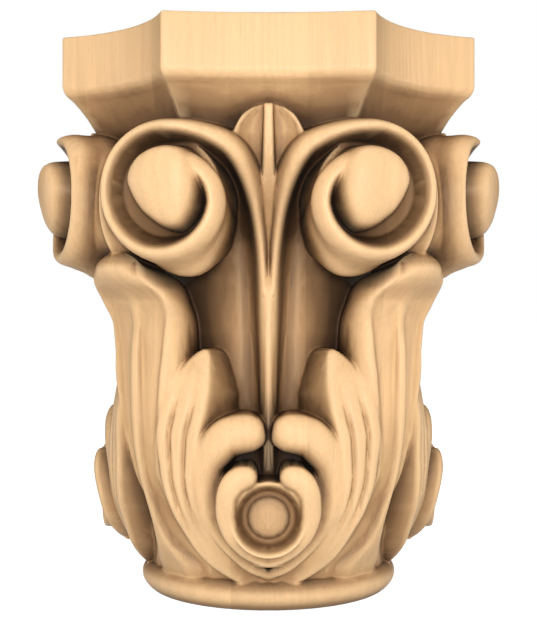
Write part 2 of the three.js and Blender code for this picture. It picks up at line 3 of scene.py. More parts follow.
import bmesh
import bpy
import numpy as np
import openvdb
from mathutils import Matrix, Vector


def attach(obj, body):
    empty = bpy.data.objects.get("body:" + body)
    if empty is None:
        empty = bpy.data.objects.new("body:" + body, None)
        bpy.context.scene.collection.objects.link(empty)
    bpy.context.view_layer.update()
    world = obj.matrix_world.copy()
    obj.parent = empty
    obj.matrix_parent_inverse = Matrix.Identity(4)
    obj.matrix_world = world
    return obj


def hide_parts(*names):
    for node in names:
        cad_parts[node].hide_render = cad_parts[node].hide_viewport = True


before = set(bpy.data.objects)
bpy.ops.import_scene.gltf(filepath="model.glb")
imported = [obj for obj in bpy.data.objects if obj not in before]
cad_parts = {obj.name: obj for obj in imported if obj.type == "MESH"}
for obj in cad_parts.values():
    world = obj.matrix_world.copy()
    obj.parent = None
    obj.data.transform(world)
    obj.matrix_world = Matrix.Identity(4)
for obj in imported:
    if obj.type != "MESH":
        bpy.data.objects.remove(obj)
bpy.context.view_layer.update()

# ---------------------------------------------------------------------------
# Carved capital: one block of pale wood, glued up from boards and carved on all four sides.
# It has four like faces, each the same left and right of its middle, so one eighth is carved
# here, from a face's middle to the corner, and is then repeated round the axis.
# A face has its own coordinates: a, sideways from its middle; p, out from the axis; z, up.
# ---------------------------------------------------------------------------
HALF = 0.165  # half the width of the abacus, from the axis to a face
HEIGHT = 0.450
EIGHTH = pi / 4


def curve(rows, x):
    """Smooth values at x through rows [x, value, value, ...], never past two rows' values."""
    rows = np.asarray(rows, float)
    x = np.atleast_1d(np.asarray(x, float))
    at, values = rows[:, 0], rows[:, 1:]
    wide = np.diff(at)
    slope = np.diff(values, axis=0) / wide[:, None]
    tangent = np.zeros_like(values)
    before, after = slope[:-1], slope[1:]
    same = before * after > 0
    tangent[1:-1][same] = (2 * before * after)[same] / (before + after)[same]
    tangent[0], tangent[-1] = slope[0], slope[-1]
    i = np.clip(np.searchsorted(at, x, side="right") - 1, 0, len(at) - 2)
    t = np.clip((x - at[i]) / wide[i], 0, 1)[:, None]
    w = wide[i][:, None]
    return (
        (1 + 2 * t) * (1 - t) ** 2 * values[i]
        + t * (1 - t) ** 2 * w * tangent[i]
        + t * t * (3 - 2 * t) * values[i + 1]
        - t * t * (1 - t) * w * tangent[i + 1]
    )


def flowing(points, per):
    """Points on a smooth line through the given ones, per points to each gap."""
    p = np.asarray(points, float)
    p = np.concatenate([2 * p[:1] - p[1:2], p, 2 * p[-1:] - p[-2:-1]])
    t = (np.arange(per) / per)[:, None]
    line = [
        0.5
        * (
            2 * p[i]
            + (p[i + 1] - p[i - 1]) * t
            + (2 * p[i - 1] - 5 * p[i] + 4 * p[i + 1] - p[i + 2]) * t**2
            + (3 * p[i] - p[i - 1] - 3 * p[i + 1] + p[i + 2]) * t**3
        )
        for i in range(1, len(p) - 2)
    ]
    return np.concatenate(line + [p[-2:-1]])


# The block is worked out as distances from its surface on a fine grid over one eighth of it.
VOXEL = 0.001
GRID_LOW = np.array([-12, -12, -6])  # the grid's first place in a, p and z, in voxels
GRID_SIZE = (206, 206, 466)
BAND = 5  # distances are known this many voxels deep on each side of a surface
SCALE = openvdb.createLinearTransform(voxelSize=VOXEL)


def distances(rings):
    """Distances from the solid through rings of points [a, p, z], its two ends closed with fans."""
    rings = np.asarray(rings, float)
    count, around, _ = rings.shape
    middles = rings[[0, -1]].mean(axis=1)
    points = np.concatenate([rings.reshape(-1, 3), middles])
    ring, place = np.meshgrid(np.arange(count - 1) * around, np.arange(around), indexing="ij")
    after = (place + 1) % around
    quads = np.stack([ring + place, ring + after, ring + after + around, ring + place + around], -1)
    first = np.arange(around)
    follow = (first + 1) % around
    top = (count - 1) * around
    fans = np.concatenate(
        [
            np.stack([np.full(around, count * around), follow, first], -1),
            np.stack([np.full(around, count * around + 1), top + first, top + follow], -1),
        ]
    )
    grid = openvdb.FloatGrid.createLevelSetFromPolygons(
        points, triangles=fans, quads=quads.reshape(-1, 4), transform=SCALE, halfWidth=BAND
    )
    box = np.empty(GRID_SIZE, np.float32)
    grid.copyToArray(box, ijk=tuple(int(v) for v in GRID_LOW))
    return box


block = np.full(GRID_SIZE, BAND * VOXEL, np.float32)


def join(rings, fillet=0.0):
    """Adds a form to the block, with a hollow of about this radius where the two meet."""
    form = distances(rings)
    if fillet:
        near = np.maximum(fillet - np.abs(block - form), 0) / fillet
        np.minimum(block, form, out=block)
        np.subtract(block, near * near * fillet / 4, out=block)
    else:
        np.minimum(block, form, out=block)


def all_round(eighth, z):
    """A ring at height z from its eighth, rows [a, p] from a face's middle to the corner."""
    eighth = np.asarray(eighth, float)
    quarter = np.concatenate([eighth, eighth[-2::-1, ::-1]])[:-1]
    ring = []
    for face in range(4):
        turn = face * pi / 2
        a = quarter[:, 0] * cos(turn) + quarter[:, 1] * sin(turn)
        p = quarter[:, 1] * cos(turn) - quarter[:, 0] * sin(turn)
        ring.append(np.stack([a, p, np.full(len(a), z)], -1))
    return np.concatenate(ring)


def strip(rows, section, count):
    """Rings of a strip of carving. rows: t, then the crest's a, p, z, its half width, and the turn
    of its outward direction. section(t, wide): rows of how far across and out of the crest."""
    rows = np.asarray(rows, float)
    ts = np.linspace(rows[0, 0], rows[-1, 0], count + 1)
    at = curve(rows, ts)
    crest = at[:, :3]
    along = np.gradient(crest, axis=0)
    along /= np.linalg.norm(along, axis=1, keepdims=True)
    turn = at[:, 4]
    out = np.stack([np.sin(turn), np.cos(turn), np.zeros_like(turn)], -1)
    across = np.cross(along, out)
    across /= np.linalg.norm(across, axis=1, keepdims=True)
    rings = []
    for i, t in enumerate(ts):
        u, h = np.asarray(section(t, at[i, 3])).T
        rings.append(crest[i] + u[:, None] * across[i] + h[:, None] * out[i])
    return rings


def scaled(rows):
    """Rows of t, a, p, z, width in half widths and, where given, a turn in degrees, in metres."""
    rows = np.array(rows, float)
    rows[:, 1:5] *= HALF
    rows[:, 5:] = np.radians(rows[:, 5:])
    return rows


# Abacus: a square with each corner scooped out, hollowed inwards below its upright band.
FACE_END = 0.471 * HALF  # where the front of a face ends and the scoop begins
FACE_MIDDLE = 0.958 * HALF  # the front of a face bows in to this at its middle
FACE_TIP = 0.994 * HALF
SCOOP_DEEP = 0.661 * HALF  # a and p at the deepest point of the scoop
BAND_FOOT = 0.040  # depth of the upright band
ABACUS_SIDE = [
    # depth below the top, share of the full width
    [0.0, 1.0],
    [BAND_FOOT, 1.0],
    [0.046, 0.985],
    [0.051, 0.95],
    [0.062, 0.895],
    [0.076, 0.84],
    [0.092, 0.76],
]
chord = (FACE_TIP - FACE_END) / sqrt(2)
sag = ((FACE_TIP + FACE_END) / 2 - SCOOP_DEEP) * sqrt(2)
scoop_radius = chord**2 / (2 * sag) + sag / 2
scoop_middle = SCOOP_DEEP + scoop_radius / sqrt(2)
front_a = np.linspace(0, FACE_END, 16)[:-1]
bow = (FACE_TIP - FACE_MIDDLE) * (1 - (front_a / FACE_END) ** 2)
front = np.stack([front_a, FACE_TIP - bow], -1)
turns = EIGHTH + np.linspace(np.arcsin(chord / scoop_radius), 0, 24)
scoop = scoop_middle - scoop_radius * np.stack([np.sin(turns), np.cos(turns)], -1)
abacus = np.concatenate([front, scoop])
depths = np.concatenate([[0.0], np.linspace(BAND_FOOT, ABACUS_SIDE[-1][0], 40)])
shares = curve(ABACUS_SIDE, depths)[:, 0]
join([all_round(abacus * share, HEIGHT - depth) for depth, share in zip(depths, shares)])

# Base ring: a half round bead that ends the capital above the column's shaft.
RING_HIGH = 0.025
RING_OUT = 0.1075
RING_FOOT = 0.099
RING_TOP = 0.097  # its radius where it runs into the bell
ring_side = [[0, RING_FOOT]]
for up in np.linspace(-0.4, 0.4, 25):
    ring_side.append([(0.5 + up) * RING_HIGH, RING_OUT - (RING_OUT - RING_FOOT) * (2 * up) ** 2])
ring_side.append([RING_HIGH, RING_TOP])
turns = np.linspace(0, 2 * pi, 257)[1:]
join([np.stack([r * np.sin(turns), r * np.cos(turns), 0 * turns + z], -1) for z, r in ring_side])

# Bell: the round core, with a stem up the middle of each face and a scooped flute beside it.
BELL = [
    # height, radius of the bell and of the stem, in half widths
    [0.10, 0.600, 0.600],
    [0.34, 0.620, 0.620],
    [0.50, 0.630, 0.635],
    [0.65, 0.615, 0.645],
    [0.80, 0.585, 0.650],
    [1.00, 0.560, 0.652],
    [1.15, 0.553, 0.657],
    [1.30, 0.552, 0.665],
    [1.47, 0.565, 0.690],
    [1.58, 0.577, 0.695],
    [1.70, 0.595, 0.680],
    [2.00, 0.660, 0.670],
    [2.30, 0.790, 0.790],
]
turns = np.linspace(0, EIGHTH, 121)
bell = []
for z in np.linspace(BELL[0][0], BELL[-1][0], 200):
    bell_r, stem_r = curve(BELL, z)[0]
    proud = stem_r - bell_r
    polar = [
        # turn from the face's middle, radius
        [0, stem_r],
        [0.022, stem_r - 0.05 * proud],
        [0.040, stem_r - 0.30 * proud],
        [0.062, bell_r + 0.22 * proud],
        [0.100, bell_r - 0.10 * proud],
        [0.145, bell_r - 0.18 * proud],
        [0.200, bell_r - 0.08 * proud],
        [0.260, bell_r],
        [EIGHTH, bell_r],
    ]
    r = curve(polar, turns)[:, 0] * HALF
    bell.append(all_round(np.stack([r * np.sin(turns), r * np.cos(turns)], -1), z * HALF))
join(bell)

# Corner leaf: a tall leaf up each corner with a rib along its middle, a flute on each side and
# a raised edge, which curls out to a round head under the volutes. Its walls face the stems.
LEAF = [
    # height; a of the wall; then, out along the diagonal and across it: the edge, the groove
    # beside it, the flute and the rib's edge; and the rib, out along the diagonal
    [0.10, 0.15, 0.530, 0.280, 0.545, 0.250, 0.570, 0.190, 0.587, 0.140, 0.600],
    [0.18, 0.18, 0.540, 0.280, 0.556, 0.245, 0.580, 0.200, 0.606, 0.146, 0.645],
    [0.31, 0.25, 0.630, 0.175, 0.640, 0.145, 0.662, 0.100, 0.690, 0.062, 0.725],
    [0.42, 0.30, 0.695, 0.115, 0.702, 0.085, 0.720, 0.056, 0.747, 0.030, 0.772],
    [0.53, 0.32, 0.760, 0.085, 0.755, 0.060, 0.768, 0.042, 0.794, 0.022, 0.815],
    [0.66, 0.33, 0.820, 0.090, 0.812, 0.062, 0.823, 0.042, 0.845, 0.020, 0.858],
    [0.81, 0.33, 0.850, 0.110, 0.840, 0.080, 0.848, 0.050, 0.876, 0.023, 0.886],
    [0.97, 0.33, 0.862, 0.145, 0.848, 0.108, 0.857, 0.062, 0.889, 0.025, 0.898],
    [1.10, 0.33, 0.868, 0.168, 0.848, 0.122, 0.858, 0.068, 0.892, 0.025, 0.901],
    [1.24, 0.335, 0.860, 0.184, 0.845, 0.138, 0.858, 0.075, 0.889, 0.022, 0.898],
    [1.35, 0.342, 0.861, 0.200, 0.850, 0.155, 0.863, 0.085, 0.881, 0.024, 0.886],
    [1.45, 0.372, 0.897, 0.228, 0.886, 0.175, 0.893, 0.095, 0.900, 0.035, 0.902],
    [1.50, 0.390, 0.940, 0.215, 0.934, 0.165, 0.940, 0.095, 0.943, 0.045, 0.944],
    [1.54, 0.415, 0.985, 0.185, 0.988, 0.140, 0.996, 0.090, 0.999, 0.045, 1.000],
    [1.58, 0.465, 1.000, 0.168, 1.018, 0.125, 1.030, 0.075, 1.035, 0.035, 1.036],
    [1.61, 0.530, 0.998, 0.160, 1.022, 0.120, 1.037, 0.070, 1.042, 0.035, 1.043],
    [1.64, 0.600, 0.988, 0.148, 1.012, 0.110, 1.028, 0.065, 1.033, 0.035, 1.034],
    [1.665, 0.645, 0.980, 0.100, 0.998, 0.080, 1.010, 0.050, 1.016, 0.015, 1.017],
    [1.685, 0.668, 0.980, 0.050, 0.990, 0.040, 0.998, 0.025, 1.002, 0.010, 1.003],
    [1.70, 0.688, 0.980, 0.008, 0.982, 0.006, 0.984, 0.004, 0.985, 0.002, 0.986],
]
SHOULDER = 0.2  # how far back the wall starts to round over to the edge
leaf = []
for z in np.concatenate([np.linspace(0.1, 1.4, 120), np.linspace(1.41, LEAF[-1][0], 60)]):
    row = curve(LEAF, z)[0]
    wall, edge_s, edge_w, groove_s, groove_w, flute_s, flute_w, lip_s, lip_w, rib = row
    face_line = [
        [rib, 0],
        [rib - 0.002, lip_w * 0.6],
        [lip_s, lip_w],
        [(lip_s + 3 * flute_s) / 4, lip_w + 0.012],
        [flute_s, flute_w],
        [groove_s, groove_w],
        [edge_s - 0.004, (groove_w + 2 * edge_w) / 3],
        [edge_s, edge_w],
    ]
    face_line = flowing(face_line, 6)
    edge_a, edge_p = (edge_s - edge_w) / sqrt(2), (edge_s + edge_w) / sqrt(2)
    round_over = np.linspace(0, pi / 2, 13)[1:]
    back = min(SHOULDER, max(edge_p - wall, 0.002) * 0.8)
    wall_a = edge_a + (wall - edge_a) * np.sin(round_over)
    wall_p = edge_p - back * (1 - np.cos(round_over))
    wall_a = np.append(wall_a, [wall, wall])
    wall_p = np.append(wall_p, [(edge_p - back + wall) / 2, wall])
    s, w = face_line.T
    half = np.concatenate([np.stack([s - w, s + w], -1) / sqrt(2), np.stack([wall_a, wall_p], -1)])
    both = np.concatenate([half, half[-2:0:-1, ::-1]]) * HALF
    leaf.append(np.column_stack([both, np.full(len(both), z * HALF)]))
join(leaf)

# Volute: a ribbon climbs from the stem, rolls over outwards and winds in round a raised eye.
TILT = radians(23.4)  # the roll's front turns this far towards the corner
ROLL = np.array([0.4725, 1.0205, 1.9225]) * HALF  # its centre, at the crest
ROLL_BOW = 0.75 / HALF  # the crest falls back a little on the side of the stem
BACK = 0.45 * HALF  # every strip of carving reaches in to this distance from the axis


def in_roll(x, y, h):
    """A place in the roll: x sideways and y up in its own tilted front, h out of it."""
    bow = np.where(x < 0, ROLL_BOW * x * x, 0)
    return np.stack(
        [
            ROLL[0] + x * cos(TILT) + h * sin(TILT),
            ROLL[1] - x * sin(TILT) + h * cos(TILT) - bow,
            ROLL[2] + y + 0 * x,
        ],
        -1,
    )


RISE = scaled([
    # quarter turns from the top of the roll; crest a, p, z in half widths
    [-9, 0.004, 0.640, 0.860, 0],
    [-8, 0.006, 0.643, 1.030, 0],
    [-7, 0.009, 0.650, 1.200, 0],
    [-6, 0.012, 0.660, 1.360, 0],
    [-5, 0.018, 0.700, 1.520, 0],
    [-4, 0.030, 0.750, 1.670, 0],
    [-3, 0.054, 0.815, 1.835, 0],
    [-2, 0.103, 0.900, 1.995, 0],
    [-1, 0.213, 0.985, 2.148, 0],
])
TURN_START = -6  # where the ribbon starts to turn towards the corner
ROLL_CREST = [
    # quarter turns; crest radius and how far out of the roll's front, in half widths
    [0.0, 0.301, 0.0],
    [0.5, 0.307, 0.0],
    [1.0, 0.293, 0.0],
    [1.5, 0.270, 0.0],
    [2.0, 0.256, 0.0],
    [2.5, 0.248, 0.0],
    [2.85, 0.243, 0.0],
    [3.1, 0.225, 0.004],
    [3.35, 0.197, 0.014],
    [3.7, 0.170, 0.022],
    [4.1, 0.145, 0.020],
    [4.5, 0.110, 0.000],
]
t = np.linspace(0, ROLL_CREST[-1][0], 60)
radius, lift = (curve(ROLL_CREST, t) * HALF).T
turn = pi / 2 * (1 - t)
roll = in_roll(radius * np.cos(turn), radius * np.sin(turn), lift)
ribbon = np.concatenate([
    np.column_stack([RISE, TILT * np.maximum(1 - RISE[:, 0] / TURN_START, 0)]),
    np.column_stack([t, roll, 0 * t, 0 * t + TILT]),
])
RIBBON = [
    # quarter turns; width of the crest's outer shoulder; how far out the wall is a quarter deep;
    # width of the hollow inner flank, its depth below the crest, and width of the floor beside it
    [-9, 0.004, 0.004, 0.010, 0.090, 0.000],
    [-8, 0.010, 0.010, 0.015, 0.095, 0.000],
    [-7, 0.016, 0.016, 0.025, 0.105, 0.000],
    [-6, 0.020, 0.020, 0.040, 0.120, 0.000],
    [-5, 0.022, 0.025, 0.055, 0.145, 0.000],
    [-4, 0.026, 0.030, 0.070, 0.165, 0.000],
    [-3, 0.036, 0.040, 0.090, 0.185, 0.000],
    [-2, 0.055, 0.060, 0.100, 0.195, 0.010],
    [-1, 0.060, 0.065, 0.100, 0.185, 0.040],
    [-0.4, 0.045, 0.045, 0.095, 0.180, 0.050],
    [0, 0.035, 0.035, 0.090, 0.175, 0.050],
    [1, 0.032, -0.010, 0.095, 0.175, 0.050],
    [1.6, 0.040, 0.040, 0.090, 0.165, 0.050],
    [2.1, 0.048, 0.105, 0.080, 0.150, 0.050],
    [2.43, 0.046, 0.035, 0.070, 0.145, 0.040],
    [2.65, 0.044, 0.005, 0.060, 0.140, 0.030],
    [3, 0.042, -0.024, 0.045, 0.130, 0.020],
    [3.35, 0.042, -0.005, 0.025, 0.060, 0.010],
    [3.7, 0.042, 0.020, 0.020, 0.040, 0.000],
    [4.5, 0.030, 0.030, 0.020, 0.040, 0.000],
]
CROWN = 0.03 * HALF
RIBBON_BACK = 0.55 * HALF


def ribbon_section(t, _):
    shoulder, foot, flank, deep, floor = curve(RIBBON, t)[0] * HALF
    line = [
        [foot - 0.1 * HALF, -RIBBON_BACK],
        [foot, -0.25 * HALF],
        [shoulder * 0.55 + foot * 0.45, -0.145 * HALF],
        [shoulder, -0.075 * HALF],
        [shoulder * 0.72, -0.03 * HALF],
        [shoulder * 0.35, -0.007 * HALF],
        [0, 0],
        [-CROWN * 0.5, -0.006 * HALF],
        [-CROWN, -0.025 * HALF],
        [-CROWN - flank * 0.22, -deep * 0.42],
        [-CROWN - flank * 0.5, -deep * 0.76],
        [-CROWN - flank * 0.8, -deep * 0.95],
        [-CROWN - flank, -deep],
        [-CROWN - flank - floor, -deep - 0.003 * HALF],
    ]
    return np.concatenate([flowing(line, 4), [[-CROWN - flank - floor, -RIBBON_BACK]]])


join(strip(ribbon, ribbon_section, 300))

# The body of the roll, between its front on one face and its front on the next.
BARREL = np.array([
    # a and p of the outer and the inner end, height of middle, half height
    [0.689, 0.829, 0.21, 0.97, 1.925, 0.262],
    [0.742, 0.775, 0.15, 0.60, 1.918, 0.295],
    [0.775, 0.775, 0.40, 0.40, 1.910, 0.322],
]) * HALF
barrel = np.concatenate([BARREL, BARREL[-2::-1][:, [1, 0, 3, 2, 4, 5]]])
barrel = flowing(barrel, 10)
turns = np.linspace(0, 2 * pi, 97)[1:]
share = (1 + np.cos(turns)) / 2
join([
    np.stack([ia + (oa - ia) * share, ip + (op - ip) * share, z + high * np.sin(turns)], -1)
    for oa, op, ia, ip, z, high in barrel
])

# The eye: the ribbon's end swells to an egg with its small end down, flat on top, steep walled.
EYE_MIDDLE = (-0.018, 0.045)
EYE_EDGE = [
    # x and y of its edge in the roll's front, in half widths
    [-0.038, 0.211],
    [-0.090, 0.198],
    [-0.132, 0.166],
    [-0.161, 0.127],
    [-0.175, 0.081],
    [-0.177, 0.034],
    [-0.170, -0.026],
    [-0.151, -0.086],
    [-0.119, -0.137],
    [-0.082, -0.161],
    [-0.038, -0.164],
    [0.001, -0.152],
    [0.041, -0.127],
    [0.087, -0.089],
    [0.121, -0.043],
    [0.147, 0.010],
    [0.161, 0.059],
    [0.149, 0.109],
    [0.120, 0.151],
    [0.085, 0.180],
    [0.040, 0.200],
    [0.001, 0.209],
]
EYE_LEVELS = [
    # height out of the roll's crest, share of the outline
    [-0.30, 1.06],
    [-0.14, 1.035],
    [-0.03, 0.995],
    [0.015, 0.96],
    [0.045, 0.89],
    [0.062, 0.79],
    [0.074, 0.62],
    [0.080, 0.35],
]
edge = flowing(EYE_EDGE + EYE_EDGE[:1], 6)[:-1] - EYE_MIDDLE
EYE_DROOP = 0.05  # how much lower the small end is than the top, in half widths
droop = EYE_DROOP * (0.5 - 0.5 * edge[:, 1] / np.abs(edge[:, 1]).max()) ** 2
eye = []
for out, share in flowing(EYE_LEVELS, 6):
    x, y = (EYE_MIDDLE + edge * share).T * HALF
    eye.append(in_roll(x, y, (out - droop * share) * HALF))
join(eye)

# Middle leaf: a narrow leaf between the ribbons, with a raised rim, a flat rib and two panels.
MIDDLE_LEAF = scaled([
    # height, then crest a, p, z, half width, turn
    [z, 0, p, z, wide, 0]
    for z, p, wide in [
        [1.58, 0.66, 0.012],
        [1.70, 0.72, 0.040],
        [1.85, 0.785, 0.085],
        [2.00, 0.85, 0.125],
        [2.10, 0.885, 0.148],
        [2.20, 0.91, 0.158],
        [2.27, 0.92, 0.128],
        [2.32, 0.925, 0.070],
        [2.335, 0.925, 0.030],
    ]
])
RIB_HALF = [[1.58, 0.004], [1.7, 0.013], [2.0, 0.026], [2.335, 0.019]]  # height, half width
PANEL_DEEP = 0.04 * HALF


def middle_leaf_section(t, wide):
    rib = min(curve(RIB_HALF, t)[0, 0] * HALF, wide * 0.5)
    sunk = -min(PANEL_DEEP, wide * 0.8)
    half = [
        [wide, BACK - 0.85 * HALF],
        [wide, -0.01 * HALF],
        [wide * 0.93, 0],
        [wide * 0.8, sunk * 0.6],
        [(rib + wide) / 2.2, sunk],
        [rib * 1.15, sunk],
        [rib, 0],
    ]
    return half + [[-u, h] for u, h in reversed(half)]


join(strip(MIDDLE_LEAF, middle_leaf_section, 120))

# Side lobe: the pointed lobe that laps the wall of the corner leaf, with two cut grooves.
LOBE = scaled([
    # t, then crest a, p, z and half width in half widths, turn in degrees
    [-1, 0.020, 0.590, 0.110, 0.030, 6],
    [0, 0.145, 0.635, 0.180, 0.040, 10],
    [1, 0.2685, 0.690, 0.288, 0.052, 16],
    [2, 0.345, 0.725, 0.4125, 0.062, 20],
    [3, 0.3976, 0.750, 0.528, 0.072, 22],
    [4, 0.425, 0.755, 0.670, 0.088, 22],
    [5, 0.425, 0.755, 0.810, 0.106, 18],
    [6, 0.400, 0.750, 0.939, 0.112, 14],
    [7, 0.3685, 0.740, 1.0515, 0.0985, 12],
    [8, 0.3355, 0.725, 1.134, 0.072, 12],
    [8.6, 0.315, 0.716, 1.180, 0.050, 12],
    [9.1, 0.300, 0.708, 1.212, 0.030, 12],
    [9.5, 0.290, 0.700, 1.234, 0.008, 12],
])
LOBE_TIP = LOBE[-1, 0]
LOBE_SPREAD = 0.11 * HALF  # the wall on the side of the stem spreads towards its foot
LOBE_CUT = 0.028 * HALF
LOBE_GROOVES = [-0.37, 0.35]  # where the two cuts run, as shares of the half width
CUT_HALF = 0.012 * HALF


def lobe_section(t, wide):
    cut = LOBE_CUT * max(0, min(1, (t - 1) / 2, (7.3 - t) / 1.5))
    edge = min(0.02 * HALF, wide * 0.3)
    spread = LOBE_SPREAD * min(1, 0.45 + (LOBE_TIP - t) / 4)
    wall = flowing([
        [wide + spread, -0.30 * HALF],
        [wide + spread * 0.66, -0.17 * HALF],
        [wide + spread * 0.32, -0.08 * HALF],
        [wide + spread * 0.05, -edge],
        [wide * 0.9, -edge * 0.15],
        [wide * 0.75, 0],
    ], 4)
    face_line = []
    for middle in reversed(LOBE_GROOVES):
        half = min(CUT_HALF, wide * 0.15)
        for aside, down in [[1.6, 0.0], [0.8, 0.35], [0, 1.0], [-0.8, 0.35], [-1.6, 0.0]]:
            face_line.append([wide * middle + aside * half, -down * cut])
    other = [
        [-wide * 0.8, 0],
        [-wide * 0.95, -edge * 0.4],
        [-wide, -edge * 1.5],
        [-wide, -0.3 * HALF],
    ]
    return np.concatenate([wall, face_line, other])


join(strip(LOBE, lobe_section, 160))

# Petals: on each side an outer and an inner one curl up and in to a round tip.
OUTER_PETAL = scaled([
    [-1, -0.060, 0.610, 0.150, 0.016, 0],
    [0, 0.010, 0.645, 0.180, 0.024, 0],
    [1, 0.078, 0.680, 0.220, 0.032, 4],
    [2, 0.170, 0.720, 0.311, 0.040, 8],
    [3, 0.2375, 0.755, 0.410, 0.047, 10],
    [4, 0.276, 0.780, 0.507, 0.056, 10],
    [5, 0.2895, 0.790, 0.598, 0.064, 8],
    [6, 0.280, 0.805, 0.702, 0.076, 6],
    [7, 0.239, 0.820, 0.7875, 0.088, 4],
    [8, 0.176, 0.825, 0.837, 0.092, 0],
    [9, 0.105, 0.828, 0.851, 0.090, 0],
    [9.6, 0.060, 0.822, 0.846, 0.078, 0],
    [9.9, 0.036, 0.812, 0.842, 0.060, 0],
    [10.1, 0.020, 0.800, 0.840, 0.036, 0],
    [10.2, 0.013, 0.790, 0.840, 0.012, 0],
])
INNER_PETAL = scaled([
    [-1, -0.070, 0.740, 0.258, 0.026, 0],
    [0, 0.000, 0.755, 0.262, 0.030, 0],
    [1, 0.0587, 0.775, 0.2846, 0.032, 2],
    [2, 0.1255, 0.810, 0.338, 0.036, 4],
    [3, 0.179, 0.840, 0.417, 0.040, 5],
    [4, 0.1965, 0.860, 0.499, 0.045, 4],
    [5, 0.192, 0.875, 0.566, 0.047, 3],
    [6, 0.165, 0.885, 0.629, 0.054, 2],
    [7, 0.122, 0.885, 0.658, 0.056, 0],
    [7.6, 0.092, 0.882, 0.662, 0.051, 0],
    [8.1, 0.069, 0.875, 0.660, 0.038, 0],
    [8.4, 0.056, 0.866, 0.658, 0.022, 0],
    [8.5, 0.050, 0.860, 0.657, 0.008, 0],
])


PETAL_DEEP = 0.28 * HALF


def petal_section(_, wide):
    turn = np.linspace(0, pi, 25)
    crown = np.stack([wide * np.cos(turn), wide * 0.7 * (np.sin(turn) ** 0.8 - 1)], -1)
    return np.concatenate([[[wide, -PETAL_DEEP]], crown, [[-wide, -PETAL_DEEP]]])


join(strip(OUTER_PETAL, petal_section, 160))
join(strip(INNER_PETAL, petal_section, 160))

# Flower: a deep dish with a soft button in it, at the middle of the petals.
FLOWER_Z = 0.468 * HALF
FLOWER_SIDE = np.array([
    # distance out from the axis, radius
    [0.55, 0.178],
    [0.82, 0.176],
    [0.845, 0.166],
    [0.828, 0.150],
    [0.795, 0.137],
    [0.762, 0.123],
    [0.750, 0.108],
    [0.756, 0.094],
    [0.768, 0.080],
    [0.772, 0.055],
]) * HALF
join([
    np.stack([r * np.sin(turns), 0 * turns + p, FLOWER_Z + r * np.cos(turns)], -1)
    for p, r in flowing(FLOWER_SIDE, 4)
])

# What crosses the middle of the face or the corner is the same on its other side.
middle = -int(GRID_LOW[0])
reach = slice(0, 2 * middle + 1)
block[reach] = np.minimum(block[reach], block[reach][::-1])
block = np.minimum(block, block.transpose(1, 0, 2))

# The carver's tools and sandpaper leave no edge or hollow quite sharp.
SOFTEN = 2
for _ in range(SOFTEN):
    for axis in range(3):
        block = (np.roll(block, 1, axis) + 2 * block + np.roll(block, -1, axis)) / 4

grid = openvdb.FloatGrid(BAND * VOXEL)
grid.copyFromArray(block, ijk=tuple(int(v) for v in GRID_LOW))
grid.transform = SCALE
points, quads = grid.convertToQuads(isovalue=0.0)
points = points.astype(float) * [1, -1, 1]

skin = bpy.data.meshes.new("eighth")
skin.from_pydata(points, [], quads)
eighth = bpy.data.objects.new("eighth", skin)
bpy.context.scene.collection.objects.link(eighth)


def sampled(values, places):
    """Values of a grid over the eighth at places given in a, p and z, folded into it."""
    at = np.abs(places) / VOXEL - GRID_LOW
    at = np.clip(at, 0, np.array(GRID_SIZE) - 1.001)
    low = at.astype(int)
    part = at - low
    total = 0
    for corner in np.ndindex(2, 2, 2):
        weight = np.prod(np.where(corner, part, 1 - part), axis=1)
        i, j, k = (low + corner).T
        total = total + weight * values[i, j, k]
    return total


def as_made(piece, modifier):
    """The piece's mesh with its modifier applied; the modifier is taken off."""
    bpy.context.view_layer.update()
    evaluated = piece.evaluated_get(bpy.context.evaluated_depsgraph_get())
    mesh = bpy.data.meshes.new_from_object(evaluated)
    piece.modifiers.remove(modifier)
    return mesh


# Few facets where the skin is flat, then an exact cut down the face's middle and the corner.
EIGHTH_FACES = 24000
SPARE = 1.12  # the grid runs a little past both cuts
thin = eighth.modifiers.new("thin", "DECIMATE")
thin.ratio = EIGHTH_FACES * SPARE / (2 * len(quads))
thin.use_collapse_triangulate = True
thinned = as_made(eighth, thin)
cut = bmesh.new()
cut.from_mesh(thinned)
for normal in [(-1, 0, 0), (1, 1, 0)]:
    everything = cut.verts[:] + cut.edges[:] + cut.faces[:]
    bmesh.ops.bisect_plane(
        cut, geom=everything, plane_co=(0, 0, 0), plane_no=normal, clear_outer=True
    )
bmesh.ops.triangulate(cut, faces=cut.faces[:])
cut.to_mesh(skin)
cut.free()

# Openness: how much of the room in front of each place on the skin is free of wood. It paints shade
# into the wood's colour: the less open a place, the darker it is painted.
skin_places = np.empty(len(skin.vertices) * 3)
skin.vertices.foreach_get("co", skin_places)
skin_places = skin_places.reshape(-1, 3) * [1, -1, 1]
slope = []
for axis in range(3):
    nudge = np.zeros(3)
    nudge[axis] = 1.5 * VOXEL
    slope.append(sampled(block, skin_places + nudge) - sampled(block, skin_places - nudge))
normal = np.stack(slope, -1)
normal /= np.linalg.norm(normal, axis=1, keepdims=True) + 1e-9
LOOKS = 96
REACH = [0.002, 0.0035, 0.0055, 0.008, 0.011, 0.015, 0.020, 0.026, 0.034, 0.044, 0.056]
START = 0.001  # every look starts this far off the skin
LEFT_OPEN = 0.35  # share of a look that the furthest wood in its way leaves open
index = np.arange(LOOKS) + 0.5
spin = index * pi * (1 + sqrt(5))
rise = np.sqrt(1 - index / LOOKS)
level = np.sqrt(index / LOOKS)
aside = np.cross(normal, np.where(np.abs(normal[:, 2:]) > 0.9, [1.0, 0, 0], [0, 0, 1.0]))
aside /= np.linalg.norm(aside, axis=1, keepdims=True)
upward = np.cross(normal, aside)
wood_there = block < 0
free = np.zeros(len(skin_places))
